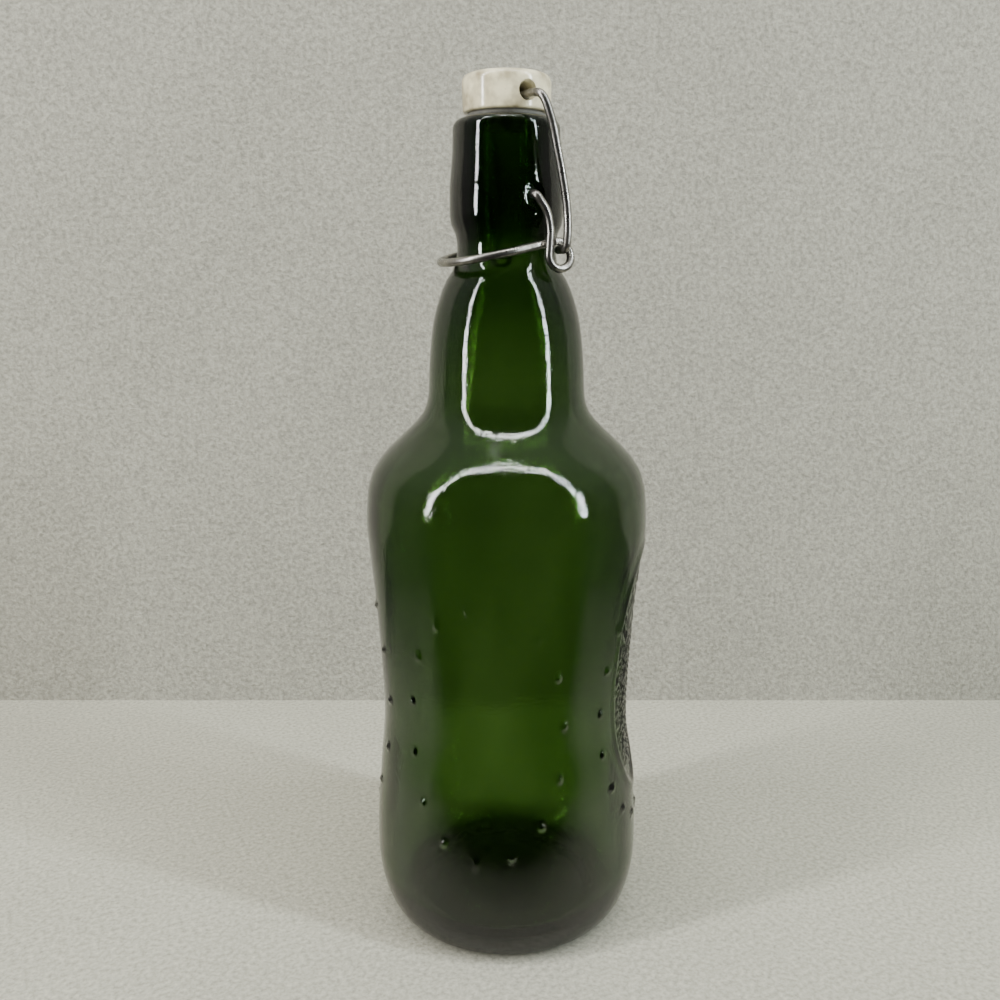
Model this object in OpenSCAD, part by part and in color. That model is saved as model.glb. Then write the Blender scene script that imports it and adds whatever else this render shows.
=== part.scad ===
// Swing-top beer bottle: a glass bottle with a collared neck, and a wire closure
// whose lever pulls a porcelain stopper and its rubber washer down on to the lip.
// Millimetres, +Z up. The origin is the centre of the ring that the bottle stands on.
// The lever's handle is on the -X side, and the closure turns about the Y direction.

/* [Glass] */
// Height of the glass, from the standing ring to the lip
lip_z = 244.4; // [244.2:0.1:244.8]
// Height of the rounded heel, where the side begins
heel_z = 23; // [21:0.5:24]
// Width of the rounded heel, seen from below
heel_w = 9.8; // [8:0.2:11]
// Thickness of the side wall
wall = 3.6; // [3:0.1:4]
// Thickness of the glass across the base
base_t = 6.5; // [5:0.5:8]
// Height of the hollow pushed up into the underside
punt_h = 4.5; // [2:0.5:5]
// Radius of the pouring bore at the lip
bore_r = 8.8; // [8.6:0.1:9]
// Radius of the flat sealing ring on the lip
seal_r = 13; // [12.5:0.1:13.2]

/* [Stopper] */
// Radius of the porcelain stopper
cap_r = 12.7; // [12.4:0.1:12.8]
// Height of the porcelain above the washer
cap_h = 10.8; // [10.4:0.1:11.2]
// Radius of the edge round the top
cap_edge_r = 2.2; // [1.5:0.1:2.5]
// Radius of the hole through the stopper
hole_r = 2.3; // [2.2:0.05:2.4]
// Length of the stem that holds the washer
stem_l = 5.2; // [4.5:0.1:5.4]
// Thickness of the rubber washer
washer_t = 1.6; // [1.5:0.05:1.7]
// Outer radius of the rubber washer
washer_r = 11.3; // [11:0.1:11.6]

/* [Wire] */
// Thickness of the steel wire
wire_d = 2.3; // [2.2:0.05:2.3]
// Height of the dimples that the lever turns in
pivot_z = 223.1; // [223:0.05:223.2]
// Radius of the eye that the bail hooks into, to the middle of the wire
eye_r = 3.8; // [3.7:0.05:3.8]
// How far the bail's hook lies behind the dimples
hook_x = 7.8; // [7.7:0.05:7.9]
// Height of the bail's hook in the eye
hook_z = 208.2; // [208.1:0.05:208.3]
// Reach of the handle in front of the neck
handle_x = 19.4; // [19.2:0.1:19.6]
// Height of the handle's front end
handle_z = 204.7; // [204.5:0.1:205]
// Half of the distance between the bail's legs
bail_y = 20.95; // [20.95:0.05:21.1]

/* [Hidden] */
$fn = 96;

// Shades of the pieces
GLASS_GREEN = [0.17, 0.27, 0.10, 0.75];
PORCELAIN_CREAM = [0.88, 0.86, 0.79];
RUBBER_GREY = [0.45, 0.45, 0.43];
STEEL_BRIGHT = [0.72, 0.72, 0.71];

// Outside of the glass as [height, radius], from the heel up to below the lip
OUTSIDE = [
    [heel_z, 41.85], [30, 41.75], [50, 40.35], [69, 38.9], [98, 40.25], [123, 42.45],
    [128, 42.78], [137, 42.3], [142.5, 41], [148, 37.75], [157, 28.7], [161, 25.15],
    [166, 23.5], [177, 22.9], [187, 21.8], [195, 19.75], [200.5, 17.4], [204.5, 14.9],
    [208, 14.45], [211.5, 14.45], [214.8, 15.9], [217.5, 16.5], [pivot_z, 16.5],
    [236, 15.6], [241.6, 15.4]
];
// Inside of the neck as [height, radius], from the shoulder up to the lip
BORE = [[176, 19.2], [187, 17.4], [196, 14], [203, 11], [208.5, 9.5], [216, 9], [lip_z, bore_r]];
NECK_START_Z = BORE[0][0];
CORNER_Z = 20;           // top of the rounded corner between the hollow's floor and side
CORNER_W = 6.5;          // width of that corner
CORNER_LOW_Z = 8;        // lowest part of the hollow
SIDE_STEPS = 3;          // outline points between two stations
ARC_STEPS = 10;          // outline points along a rounded corner

// Dimples for the lever's ends
pin_r = wire_d / 2 + 0.02;
dimple_r = pin_r + 0.08;
dimple_end_y = 13.9;     // bottom of a dimple
pin_end_y = 14.2;        // end of the wire in it
dimple_mouth_r = 2.4;
dimple_mouth_y = 15.7;

// Stopper
washer_z = lip_z;
cap_z = washer_z + washer_t;
crossbar_z = 249.5;
hole_z = crossbar_z + hole_r - pin_r - 0.05;
hole_mouth_r = hole_r + 0.8;
hole_mouth_l = 1.6;
cap_dome_h = 0.5;
stem_r = 4.6;
bead_r = 5.3;
bead_h = 2.4;

// Wire
wire_r = wire_d / 2;
WIRE_SIDES = 12;
eye_mid_x = 7.3;
eye_z = hook_z - 1.35;   // middle of the eye: the hook bears on its top
arm_y = 16.1;            // half of the distance between the lever's arms
leg_y = 18.6;            // and between its legs, at the eye
handle_start_x = 4.85;   // where the arms end and the handle's curve begins
hook_bend_r = 1.9;
hook_tip_y = 15.9;
crossbar_y = 15.2;       // half length of the bail's straight crossbar

// ---- Smooth curves through stations ----

function secant(s, i) = (s[i + 1][1] - s[i][1]) / (s[i + 1][0] - s[i][0]);

// Slope at station i that adds no bump between stations
function slope(s, i) =
    i == 0 ? secant(s, 0)
    : i == len(s) - 1 ? secant(s, i - 1)
    : secant(s, i - 1) * secant(s, i) <= 0 ? 0
    : 2 * secant(s, i - 1) * secant(s, i) / (secant(s, i - 1) + secant(s, i));

// Radius at part t (0 to 1) of the stretch after station i
function radius_on(s, i, t) =
    let (h = s[i + 1][0] - s[i][0])
    (2 * pow(t, 3) - 3 * pow(t, 2) + 1) * s[i][1]
    + (pow(t, 3) - 2 * pow(t, 2) + t) * h * slope(s, i)
    + (3 * pow(t, 2) - 2 * pow(t, 3)) * s[i + 1][1]
    + (pow(t, 3) - pow(t, 2)) * h * slope(s, i + 1);

// Outline points [radius, height] through stations first to last
function curve(s, steps) = [
    for (i = [0:len(s) - 2], k = [0:steps - 1])
        let (t = k / steps) [radius_on(s, i, t), s[i][0] + t * (s[i + 1][0] - s[i][0])],
    [s[len(s) - 1][1], s[len(s) - 1][0]]
];

// Elliptical corner [radius, height] about a centre, from angle a0 to a1
function corner(centre, rx, rz, a0, a1) = [
    for (k = [0:ARC_STEPS])
        let (a = a0 + (a1 - a0) * k / ARC_STEPS) centre + [rx * cos(a), rz * sin(a)]
];

// The same outline moved inwards by the wall, measured square to it
function inset(points, t) = [
    for (i = [1:len(points) - 2])
        let (run = points[i + 1] - points[i - 1], side = run / norm(run))
        points[i] + t * [-side[1], side[0]]
];

// ---- Glass ----

heel_r = OUTSIDE[0][1];
side_out = curve(OUTSIDE, SIDE_STEPS);
side_in = [for (p = inset(side_out, wall)) if (p[1] > CORNER_Z && p[1] < NECK_START_Z - 4) p];
floor_z = punt_h + base_t;
lip_r = OUTSIDE[len(OUTSIDE) - 1][1];
lip_start_z = OUTSIDE[len(OUTSIDE) - 1][0];

module glass_outline() {
    ring_in_r = heel_r - heel_w - 5;
    polygon(concat(
        corner([0, 0], ring_in_r, punt_h, 90, 0),
        corner([heel_r - heel_w, heel_z], heel_w, heel_z, -90, -9),
        side_out,
        corner([seal_r, lip_start_z], lip_r - seal_r, lip_z - lip_start_z, 9, 90),
        [[0, lip_z]]
    ));
}

module hollow_outline() {
    corner_r = side_in[0][0];
    polygon(concat(
        [[0, floor_z], [corner_r * 0.35, floor_z - 0.5], [corner_r * 0.6, floor_z - 1.6]],
        corner([corner_r - CORNER_W, CORNER_Z], CORNER_W, CORNER_Z - CORNER_LOW_Z, -88, -9),
        side_in,
        curve(BORE, SIDE_STEPS),
        [[bore_r, lip_z + 1], [0, lip_z + 1]]
    ));
}

// Blind round hole in the collar, flared at its mouth
module dimple() {
    reach_y = dimple_mouth_y + 2.4;
    translate([0, 0, pivot_z]) rotate([90, 0, 0]) rotate_extrude() polygon([
        [0, dimple_end_y], [dimple_r, dimple_end_y], [dimple_r, dimple_mouth_y],
        [dimple_mouth_r + 1, reach_y], [0, reach_y]
    ]);
}

module bottle() {
    color(GLASS_GREEN) difference() {
        rotate_extrude() glass_outline();
        rotate_extrude() hollow_outline();
        for (turn = [0, 180]) rotate([0, 0, turn]) dimple();
    }
}

// ---- Stopper and washer ----

module stopper() {
    top_z = cap_z + cap_h;
    color(PORCELAIN_CREAM) difference() {
        rotate_extrude() polygon(concat(
            [[0, cap_z - stem_l], [bead_r - 0.9, cap_z - stem_l], [bead_r, cap_z - stem_l + 0.9]],
            [[bead_r, cap_z - stem_l + bead_h - 0.7], [stem_r, cap_z - stem_l + bead_h]],
            [[stem_r, cap_z], [cap_r - 0.7, cap_z], [cap_r - 0.1, cap_z + 0.6]],
            corner([cap_r - cap_edge_r, top_z - cap_dome_h - cap_edge_r], cap_edge_r, cap_edge_r, 0, 80),
            [[(cap_r - cap_edge_r) * 0.6, top_z - cap_dome_h * 0.3], [0, top_z]]
        ));
        translate([0, 0, hole_z]) rotate([90, 0, 0])
            cylinder(r = hole_r, h = 2 * cap_r + 2, center = true);
        for (side = [0, 1]) mirror([0, side, 0])
            translate([0, cap_r - hole_mouth_l, hole_z]) rotate([-90, 0, 0])
                cylinder(r1 = hole_r, r2 = hole_mouth_r, h = hole_mouth_l);
    }
}

module gasket() {
    color(RUBBER_GREY) rotate_extrude() polygon([
        [stem_r, washer_z], [washer_r - 0.3, washer_z], [washer_r, washer_z + 0.35],
        [washer_r, washer_z + washer_t - 0.35], [washer_r - 0.3, washer_z + washer_t],
        [stem_r, washer_z + washer_t]
    ]);
}

// ---- Bent wire ----

function unit(v) = v / norm(v);

// Point at part t of the stretch from b to c, on a smooth curve with neighbours a and d
function bend_point(a, b, c, d, t) =
    0.5 * (2 * b + (c - a) * t + (2 * a - 5 * b + 4 * c - d) * pow(t, 2)
        + (3 * b - a - 3 * c + d) * pow(t, 3));

// Smooth route through hand-bent points
function bent(p, steps) = [
    for (i = [0:len(p) - 2], k = [0:steps - 1])
        bend_point(p[max(i - 1, 0)], p[i], p[i + 1], p[min(i + 2, len(p) - 1)], k / steps),
    p[len(p) - 1]
];

function reversed(list) = [for (i = [len(list) - 1:-1:0]) list[i]];
function mirrored(route) = [for (p = route) [p[0], -p[1], p[2]]];
function tangent(p, i) = unit(p[min(i + 1, len(p) - 1)] - p[max(i - 1, 0)]);

// Side directions carried along the route without twist
function carried(p) = [
    for (i = 0, n = unit(cross(tangent(p, 0), [0.3, 0.2, 1])); i < len(p);
        i = i + 1, n = i < len(p) ? unit(n - (n * tangent(p, i)) * tangent(p, i)) : n) n
];

// Round wire along a route
module wire(route) {
    side = carried(route);
    count = len(route);
    rings = [
        for (i = [0:count - 1], k = [0:WIRE_SIDES - 1])
            let (a = 360 * k / WIRE_SIDES, up = cross(tangent(route, i), side[i]))
            route[i] + wire_r * (cos(a) * side[i] + sin(a) * up)
    ];
    walls = [
        for (i = [0:count - 2], k = [0:WIRE_SIDES - 1])
            let (a = i * WIRE_SIDES + k, b = i * WIRE_SIDES + (k + 1) % WIRE_SIDES)
            [a, a + WIRE_SIDES, b + WIRE_SIDES, b]
    ];
    start_cap = [for (k = [0:WIRE_SIDES - 1]) k];
    end_cap = [for (k = [WIRE_SIDES - 1:-1:0]) (count - 1) * WIRE_SIDES + k];
    polyhedron(concat(rings), concat(walls, [start_cap, end_cap]));
}

// ---- Bail ----

// From the crossbar down one side to the hook
bail_leg = bent([
    [0, crossbar_y - 0.5, crossbar_z], [0.35, 18.4, 248.9], [1.3, 20, 246.6], [3, 20.6, 241.5],
    [4.4, 20.8, 235.5], [5.9, bail_y, 229], [7.6, bail_y, 220.5], [8.05, bail_y, 214.4],
    [hook_x + 0.05, bail_y, hook_z + hook_bend_r]
], 3);
bail_hook = [
    for (a = [15:15:90])
        [hook_x, bail_y - hook_bend_r * (1 - cos(a)), hook_z + hook_bend_r * (1 - sin(a))]
];
bail_side = concat(bail_leg, bail_hook, [[hook_x, bail_y - hook_bend_r - 0.4, hook_z]]);

module pin(x, z, y0, y1) {
    translate([x, y0, z]) rotate([-90, 0, 0]) cylinder(r = pin_r, h = y1 - y0);
}

module bail() {
    color(STEEL_BRIGHT) {
        pin(0, crossbar_z, -crossbar_y, crossbar_y);
        for (side = [0, 1]) mirror([0, side, 0]) {
            wire(bail_side);
            pin(hook_x, hook_z, hook_tip_y, bail_y - hook_bend_r);
        }
    }
}

// ---- Lever ----

eye_left_x = eye_mid_x - eye_r;
lever_leg = bent([
    [0, 16.3, pivot_z], [0.2, 17.5, pivot_z - 0.5], [1, 17.95, pivot_z - 1.7],
    [3, 18.15, 218.4], [4, 18.3, 214], [eye_left_x + 0.3, 18.5, eye_z + 3.2], [eye_left_x, leg_y, eye_z]
], 4);

// Three quarters of a turn under the eye and over its top, moving in towards the neck
function ease(t) = let (s = max(0, t - 0.4) / 0.6) pow(s, 2) * (3 - 2 * s);
lever_eye = [
    for (t = [1 / 24:1 / 24:1])
        [eye_mid_x - eye_r * cos(270 * t), leg_y + (arm_y - leg_y) * ease(t), eye_z - eye_r * sin(270 * t)]
];

// The arms and the handle lie in one sloping plane
eye_top_z = eye_z + eye_r;
function arm_z(x) = eye_top_z + (handle_z - eye_top_z) * (eye_mid_x - x) / (eye_mid_x + handle_x);
lever_handle = [
    for (a = [0:9:90])
        let (x = -handle_start_x - (handle_x - handle_start_x) * sin(a)) [x, arm_y * cos(a), arm_z(x)]
];
lever_side = concat(lever_leg, lever_eye, lever_handle);

module lever() {
    half = [for (i = [0:len(lever_side) - 2]) lever_side[i]];
    color(STEEL_BRIGHT) {
        wire(concat(half, [lever_side[len(lever_side) - 1]], reversed(mirrored(half))));
        for (side = [0, 1]) mirror([0, side, 0]) pin(0, pivot_z, pin_end_y, 16.6);
    }
}

bottle();
stopper();
gasket();
bail();
lever();
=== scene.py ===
"""Swing-top beer bottle: green container glass, a porcelain stopper and a wire lever closure.

Sizes are in millimetres until a mesh is made, which is in metres with +Z up. The origin is the
centre of the ring that the bottle stands on, the closure's handle is on the -X side and the
closure turns about the Y direction. A bearing is an angle in degrees round the bottle: 0 faces
-Y and 90 faces +X.
"""

import logging
import math
from collections.abc import Sequence
from dataclasses import dataclass, field
from enum import Enum

import bmesh
import bpy
import numpy as np
from mathutils import Matrix, Vector


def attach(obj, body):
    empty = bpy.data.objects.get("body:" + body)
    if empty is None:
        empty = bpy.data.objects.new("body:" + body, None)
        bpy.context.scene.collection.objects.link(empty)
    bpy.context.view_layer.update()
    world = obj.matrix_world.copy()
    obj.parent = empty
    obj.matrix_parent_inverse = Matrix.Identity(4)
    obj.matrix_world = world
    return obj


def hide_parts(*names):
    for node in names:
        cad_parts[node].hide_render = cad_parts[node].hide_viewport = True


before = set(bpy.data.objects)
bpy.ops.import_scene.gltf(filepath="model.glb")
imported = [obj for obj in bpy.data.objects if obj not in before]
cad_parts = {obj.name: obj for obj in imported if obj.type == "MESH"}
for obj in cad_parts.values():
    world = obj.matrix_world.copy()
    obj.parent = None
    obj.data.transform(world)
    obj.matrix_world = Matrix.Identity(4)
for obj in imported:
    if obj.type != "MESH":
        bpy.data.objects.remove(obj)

LOG = logging.getLogger("swing_top_bottle")
MM = 0.001

Outline = list[tuple[float, float]]
Route = list[tuple[float, float, float]]


class Body(Enum):
    """The rigid bodies that the pieces ride on."""

    GLASS = "glass"
    LEVER = "lever_wire"
    BAIL = "bail_wire"
    STOPPER = "stopper_set"


class Slot(Enum):
    """The record's material slots."""

    GLASS = "bottle_glass"
    PORCELAIN = "porcelain"
    RUBBER = "washer_rubber"
    STEEL = "steel_wire"


# ---- Colour and nodes ----


def linear(code: str) -> tuple[float, float, float, float]:
    """Turn an sRGB hex colour into linear light.

    Args:
        code: six hex digits, such as "7FA03C".

    Returns:
        Linear red, green and blue with full alpha.
    """
    parts = [int(code[i:i + 2], 16) / 255 for i in (0, 2, 4)]
    red, green, blue = [p / 12.92 if p <= 0.04045 else ((p + 0.055) / 1.055) ** 2.4 for p in parts]
    return red, green, blue, 1.0


def new_material(name: str) -> tuple[bpy.types.Material, bpy.types.NodeTree]:
    """Make an empty node material.

    Args:
        name: the finish's name.

    Returns:
        The material and its cleared node tree.
    """
    material = bpy.data.materials.new(name)
    material.use_nodes = True
    material.node_tree.nodes.clear()
    return material, material.node_tree


def add_node(
    tree: bpy.types.NodeTree,
    kind: str,
    values: dict[str | int, object] | None = None,
    links: dict[str | int, bpy.types.NodeSocket] | None = None,
    **settings: object,
) -> bpy.types.Node:
    """Add one node with its settings, socket values and links.

    Args:
        tree: the node tree that it goes into.
        kind: the node's type, without "ShaderNode".
        values: constant for each input, by name or number.
        links: socket that feeds each input, by name or number.
        **settings: the node's own properties.

    Returns:
        The new node.
    """
    node = tree.nodes.new("ShaderNode" + kind)
    for key, value in settings.items():
        setattr(node, key, value)
    for key, value in (values or {}).items():
        node.inputs[key].default_value = value
    for key, socket in (links or {}).items():
        tree.links.new(socket, node.inputs[key])
    return node


def mirror_rays(tree: bpy.types.NodeTree) -> bpy.types.NodeSocket:
    """Tell mirror reflections from all other light, including light that passes through glass.

    Args:
        tree: the node tree that it goes into.

    Returns:
        A socket that is 1 for a mirror reflection and 0 otherwise.
    """
    path = add_node(tree, "LightPath").outputs
    only = add_node(
        tree, "Math", links={0: path["Is Glossy Ray"], 1: path["Is Transmission Ray"]},
        operation="SUBTRACT", use_clamp=True,
    )
    return only.outputs["Value"]


# ---- Curves ----


def smooth_radius(stations: Sequence[tuple[float, float]], heights: np.ndarray) -> np.ndarray:
    """Radius at each height on a smooth curve that adds no bump between its stations.

    Args:
        stations: [height, radius] pairs, rising.
        heights: the heights asked for.

    Returns:
        A radius for each height.
    """
    z, r = np.array(stations, float).T
    step = np.diff(z)
    rise = np.diff(r) / step
    slopes = np.empty(len(z))
    slopes[0], slopes[-1] = rise[0], rise[-1]
    product = rise[:-1] * rise[1:]
    total = np.where(product > 0, rise[:-1] + rise[1:], 1)
    slopes[1:-1] = np.where(product > 0, 2 * product / total, 0)
    i = np.clip(np.searchsorted(z, heights, "right") - 1, 0, len(step) - 1)
    t = (heights - z[i]) / step[i]
    return (
        (2 * t**3 - 3 * t**2 + 1) * r[i]
        + (t**3 - 2 * t**2 + t) * step[i] * slopes[i]
        + (3 * t**2 - 2 * t**3) * r[i + 1]
        + (t**3 - t**2) * step[i] * slopes[i + 1]
    )


def rounded(centre: tuple[float, float], rx: float, rz: float, a0: float, a1: float, steps: int) -> Outline:
    """Elliptical corner of an outline.

    Args:
        centre: (radius, height) of its centre.
        rx: how wide it is.
        rz: how high it is.
        a0: first angle in degrees.
        a1: last angle in degrees.
        steps: number of stretches.

    Returns:
        The corner's (radius, height) points.
    """
    angles = np.radians(np.linspace(a0, a1, steps + 1))
    return [(centre[0] + rx * math.cos(a), centre[1] + rz * math.sin(a)) for a in angles]


def bent(points: Sequence[Sequence[float]], steps: int) -> Route:
    """Smooth route through the bends of a wire.

    Args:
        points: the bends, each with its three coordinates.
        steps: route points from one bend to the next.

    Returns:
        The route, from the first bend to the last.
    """
    p = np.array(points, float)
    route = []
    for i in range(len(p) - 1):
        a, b, c, d = p[max(i - 1, 0)], p[i], p[i + 1], p[min(i + 2, len(p) - 1)]
        for t in np.arange(steps) / steps:
            spot = 2 * b + (c - a) * t + (2 * a - 5 * b + 4 * c - d) * t**2 + (3 * b - a - 3 * c + d) * t**3
            route.append(tuple(0.5 * spot))
    route.append(tuple(p[-1]))
    return route


def zoned(zones: Sequence[tuple[float, float, float]]) -> np.ndarray:
    """Values with a spacing of their own in each zone.

    Args:
        zones: (start, end, greatest spacing) of each, end to start.

    Returns:
        The values, without the last zone's end.
    """
    parts = [np.linspace(a, b, math.ceil((b - a) / gap) + 1)[:-1] for a, b, gap in zones]
    return np.concatenate(parts)


# ---- Meshes ----


def add_piece(
    name: str, mesh: bpy.types.Mesh, finish: bpy.types.Material, body: Body, stands_for: str
) -> bpy.types.Object:
    """Put a finished mesh in the scene as one piece of the bottle.

    Args:
        name: the piece's name.
        mesh: its mesh, in metres.
        finish: its material.
        body: the body that it rides on.
        stands_for: the CAD node that it stands for.

    Returns:
        The new object.
    """
    piece = bpy.data.objects.new(name, mesh)
    bpy.context.scene.collection.objects.link(piece)
    mesh.materials.clear()
    mesh.materials.append(finish)
    mesh.polygons.foreach_set("use_smooth", [True] * len(mesh.polygons))
    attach(piece, body.value)
    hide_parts(stands_for)
    LOG.info("%s: %d points, %d faces, rides on %s", name, len(mesh.vertices), len(mesh.polygons), body.value)
    return piece


def grid_mesh(name: str, rings: np.ndarray, start: np.ndarray, end: np.ndarray) -> bpy.types.Mesh:
    """Closed mesh from rings, with one point at each end.

    Args:
        name: the mesh's name.
        rings: points in metres, shaped (rings, points round, 3).
        start: point that closes the first ring.
        end: point that closes the last ring.

    Returns:
        The mesh, with its faces turned outwards when the rings run up the outside.
    """
    count, around = rings.shape[:2]
    points = np.concatenate([rings.reshape(-1, 3), [start], [end]])
    first, last = count * around, count * around + 1
    column = np.arange(around)
    beside = (column + 1) % around
    faces = [
        (i * around + a, i * around + b, (i + 1) * around + b, (i + 1) * around + a)
        for i in range(count - 1)
        for a, b in zip(column.tolist(), beside.tolist())
    ]
    faces += [(first, b, a) for a, b in zip(column.tolist(), beside.tolist())]
    top = (count - 1) * around
    faces += [(last, top + a, top + b) for a, b in zip(column.tolist(), beside.tolist())]
    mesh = bpy.data.meshes.new(name)
    mesh.from_pydata(points.tolist(), [], faces)
    mesh.update()
    return mesh


def turned_mesh(name: str, outline: Outline, sides: int) -> bpy.types.Mesh:
    """Closed mesh turned about the bottle's axis.

    Args:
        name: the mesh's name.
        outline: (radius, height) points in millimetres, both ends on the axis.
        sides: points round the axis.

    Returns:
        The mesh.
    """
    angles = np.radians(np.arange(sides) * 360 / sides)
    rings = np.array([
        np.column_stack([r * np.cos(angles), r * np.sin(angles), np.full(sides, z)])
        for r, z in outline[1:-1]
    ])
    ends = [np.array([0, 0, z]) * MM for _, z in (outline[0], outline[-1])]
    return grid_mesh(name, rings * MM, *ends)


def mark_sharp(mesh: bpy.types.Mesh, angle: float) -> None:
    """Keep an edge crisp where its faces meet at more than an angle.

    Args:
        mesh: the mesh.
        angle: the angle in degrees.
    """
    work = bmesh.new()
    work.from_mesh(mesh)
    for edge in work.edges:
        edge.smooth = not (edge.is_manifold and edge.calc_face_angle(0) > math.radians(angle))
    work.to_mesh(mesh)
    work.free()


def wire_mesh(name: str, route: Sequence[Sequence[float]], radius: float, sides: int) -> bpy.types.Mesh:
    """Round wire along a route, with slightly rounded ends.

    Args:
        name: the mesh's name.
        route: the middle of the wire, in millimetres.
        radius: the wire's radius in millimetres.
        sides: points round the wire.

    Returns:
        The mesh, with a UV map that runs round the wire and along it in millimetres.
    """
    p = np.array(route, float)
    along = np.gradient(p, axis=0)
    along /= np.linalg.norm(along, axis=1)[:, None]
    side = np.cross(along[0], [0.3, 0.2, 1])
    side /= np.linalg.norm(side)
    angles = np.radians(np.arange(sides) * 360 / sides)
    rings = []
    for spot, direction in zip(p, along):
        side = side - (side @ direction) * direction
        side /= np.linalg.norm(side)
        up = np.cross(direction, side)
        rings.append(spot + radius * (np.outer(np.cos(angles), side) + np.outer(np.sin(angles), up)))
    blunt = 0.25
    first = p[0] + (rings[0] - p[0]) * (1 - blunt / radius)
    last = p[-1] + (rings[-1] - p[-1]) * (1 - blunt / radius)
    rings[0] = rings[0] + along[0] * blunt
    rings[-1] = rings[-1] - along[-1] * blunt
    rings = np.array([first, *rings, last])
    mesh = grid_mesh(name, rings * MM, p[0] * MM, p[-1] * MM)
    lengths = np.concatenate([[0], np.cumsum(np.linalg.norm(np.diff(p, axis=0), axis=1))])
    travel = np.concatenate([[0], lengths, [lengths[-1]]])
    layer = mesh.uv_layers.new(name="wire")
    count = len(rings)
    corners = np.empty(len(mesh.loops), int)
    mesh.loops.foreach_get("vertex_index", corners)
    ring = np.minimum(corners // sides, count - 1)
    around = corners % sides
    uv = np.column_stack([around / sides, travel[ring]])
    starts = np.empty(len(mesh.polygons), int)
    mesh.polygons.foreach_get("loop_start", starts)
    sizes = np.empty(len(mesh.polygons), int)
    mesh.polygons.foreach_get("loop_total", sizes)
    for start, size in zip(starts.tolist(), sizes.tolist()):
        block = uv[start:start + size, 0]
        if block.max() - block.min() > 0.5:
            block[block < 0.5] += 1
    layer.data.foreach_set("uv", uv.astype(np.float32).ravel())
    mark_sharp(mesh, 40)
    return mesh


# ---- Finishes ----


@dataclass(frozen=True)
class ContainerGlass:
    """Green soda-lime container glass, blown in an iron mould and fire-polished.

    The mould leaves a faint orange peel that breaks thin lights into sparkle, and the colour is in
    the melt, so it deepens with the thickness that is looked through.
    """

    tint: str = "94BA53"
    density: float = 610.0
    ior: float = 1.52
    roughness: float = 0.015
    peel_mm: float = 1.3
    wave_mm: float = 14.0

    def build(self) -> bpy.types.Material:
        """Make the material.

        Returns:
            Clear glass with absorption inside and two scales of surface waviness.
        """
        material, tree = new_material("container_glass_blown")
        place = add_node(tree, "TexCoord").outputs["Object"]
        # Orange peel from the mould, 1.3 mm from hump to hump
        peel = add_node(
            tree, "TexNoise", {"Scale": 1000 / self.peel_mm, "Detail": 2.0, "Roughness": 0.6},
            {"Vector": place},
        )
        peel_bump = add_node(
            tree, "Bump", {"Strength": 0.9, "Distance": 0.055 * MM}, {"Height": peel.outputs["Fac"]}
        )
        # Uneven wall from blowing, about 14 mm from hump to hump and drawn out upwards
        stretch = add_node(tree, "Mapping", {"Scale": (1.0, 1.0, 0.4)}, {"Vector": place})
        wave = add_node(
            tree, "TexNoise", {"Scale": 1000 / self.wave_mm, "Detail": 1.0, "Roughness": 0.4},
            {"Vector": stretch.outputs["Vector"]},
        )
        bump = add_node(
            tree, "Bump", {"Strength": 0.5, "Distance": 0.25 * MM},
            {"Height": wave.outputs["Fac"], "Normal": peel_bump.outputs["Normal"]},
        )
        shader = add_node(
            tree,
            "BsdfPrincipled",
            {
                "Base Color": (1.0, 1.0, 1.0, 1.0),
                "Roughness": self.roughness,
                "IOR": self.ior,
                "Transmission Weight": 1.0,
            },
            {"Normal": bump.outputs["Normal"]},
        )
        inside = add_node(tree, "VolumeAbsorption", {"Color": linear(self.tint), "Density": self.density})
        add_node(
            tree, "OutputMaterial",
            links={"Surface": shader.outputs["BSDF"], "Volume": inside.outputs["Volume"]},
        )
        return material


@dataclass(frozen=True)
class GlazedPorcelain:
    """Cream white porcelain, pressed, fired and dipped in a clear glaze.

    The glaze gives a sharp soft-edged gloss over a body with faint warm clouds, and it pools a
    little, so the surface waves slightly.
    """

    body: str = "FAF1CC"
    cloud: str = "AA9F82"
    speck: str = "8E8776"
    roughness: float = 0.16

    def build(self) -> bpy.types.Material:
        """Make the material.

        Returns:
            Clouded cream ceramic under a gloss glaze.
        """
        material, tree = new_material("porcelain_glazed")
        place = add_node(tree, "TexCoord").outputs["Object"]
        # Warm clouds about 7 mm across
        cloud = add_node(tree, "TexNoise", {"Scale": 1000 / 7, "Detail": 3.0}, {"Vector": place})
        blend = add_node(
            tree, "MapRange", {"From Min": 0.4, "From Max": 0.64}, {"Value": cloud.outputs["Fac"]}
        )
        colour = add_node(
            tree, "Mix", {6: linear(self.body), 7: linear(self.cloud)}, {0: blend.outputs["Result"]},
            data_type="RGBA",
        )
        # Kiln specks, 0.3 mm and few
        speck = add_node(tree, "TexNoise", {"Scale": 1000 / 0.8, "Detail": 1.0}, {"Vector": place})
        rare = add_node(
            tree, "MapRange", {"From Min": 0.74, "From Max": 0.8, "To Max": 0.6},
            {"Value": speck.outputs["Fac"]},
        )
        specked = add_node(
            tree, "Mix", {7: linear(self.speck)}, {0: rare.outputs["Result"], 6: colour.outputs[2]},
            data_type="RGBA",
        )
        # The glaze's slow waves, about 3 mm
        wave = add_node(tree, "TexNoise", {"Scale": 1000 / 3, "Detail": 1.0}, {"Vector": place})
        bump = add_node(
            tree, "Bump", {"Strength": 0.35, "Distance": 0.06 * MM}, {"Height": wave.outputs["Fac"]}
        )
        shader = add_node(
            tree,
            "BsdfPrincipled",
            {"Roughness": self.roughness, "IOR": 1.5, "Coat Weight": 0.3, "Coat Roughness": 0.05},
            {"Base Color": specked.outputs[2], "Normal": bump.outputs["Normal"]},
        )
        add_node(tree, "OutputMaterial", links={"Surface": shader.outputs["BSDF"]})
        return material


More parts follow.
